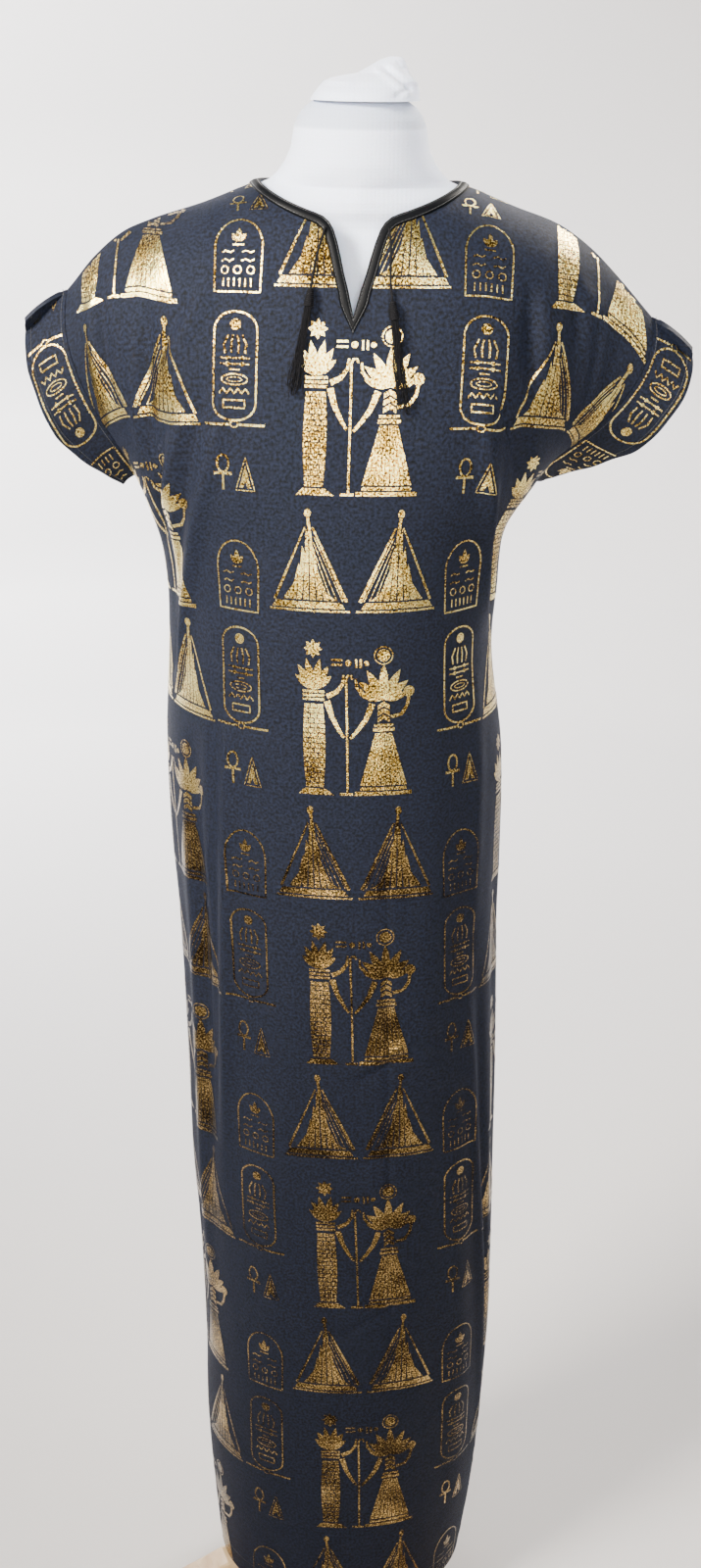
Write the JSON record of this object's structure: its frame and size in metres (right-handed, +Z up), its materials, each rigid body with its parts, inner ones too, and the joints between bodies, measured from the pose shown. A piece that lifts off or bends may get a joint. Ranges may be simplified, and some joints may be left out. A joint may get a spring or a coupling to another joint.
{
  "type": "jalabiya on a limbless dress form with a tripod stand",
  "caption": "Ankle-length black jalabiya with metallic gold print, cap sleeves with bands, bound slit neck and tasselled ties, worn by a limbless dress form on a tripod.",
  "frame": {"origin": "on the floor, in the middle of the outline of the whole part seen from above", "axes": "+Z up; the garment's front faces -Y; +X is to the viewer's right"},
  "size_m": [0.5511, 0.478, 1.4983],
  "materials": {
    "cloth": "plain weave, soft sheen",
    "binding": "satin",
    "braid": "matte braid",
    "gold_print": "metallic foil, speckled",
    "knit_cover": "fine jersey",
    "wood": "satin lacquer",
    "pole_steel": "satin"
  },
  "bodies": {
    "root": {"front_panel": "cloth", "back_panel": "cloth", "sleeve_band_left": "cloth", "sleeve_band_right": "cloth", "neck_binding": "binding", "tie_cord_left": "braid", "tie_cord_right": "braid", "tassel_left": "braid", "tassel_right": "braid", "form_torso": "knit_cover", "form_cover_end": "knit_cover", "stand_pole": "pole_steel", "stand_hub": "wood", "stand_leg_1": "wood", "stand_leg_2": "wood", "stand_leg_3": "wood"}
  },
  "joints": []
}
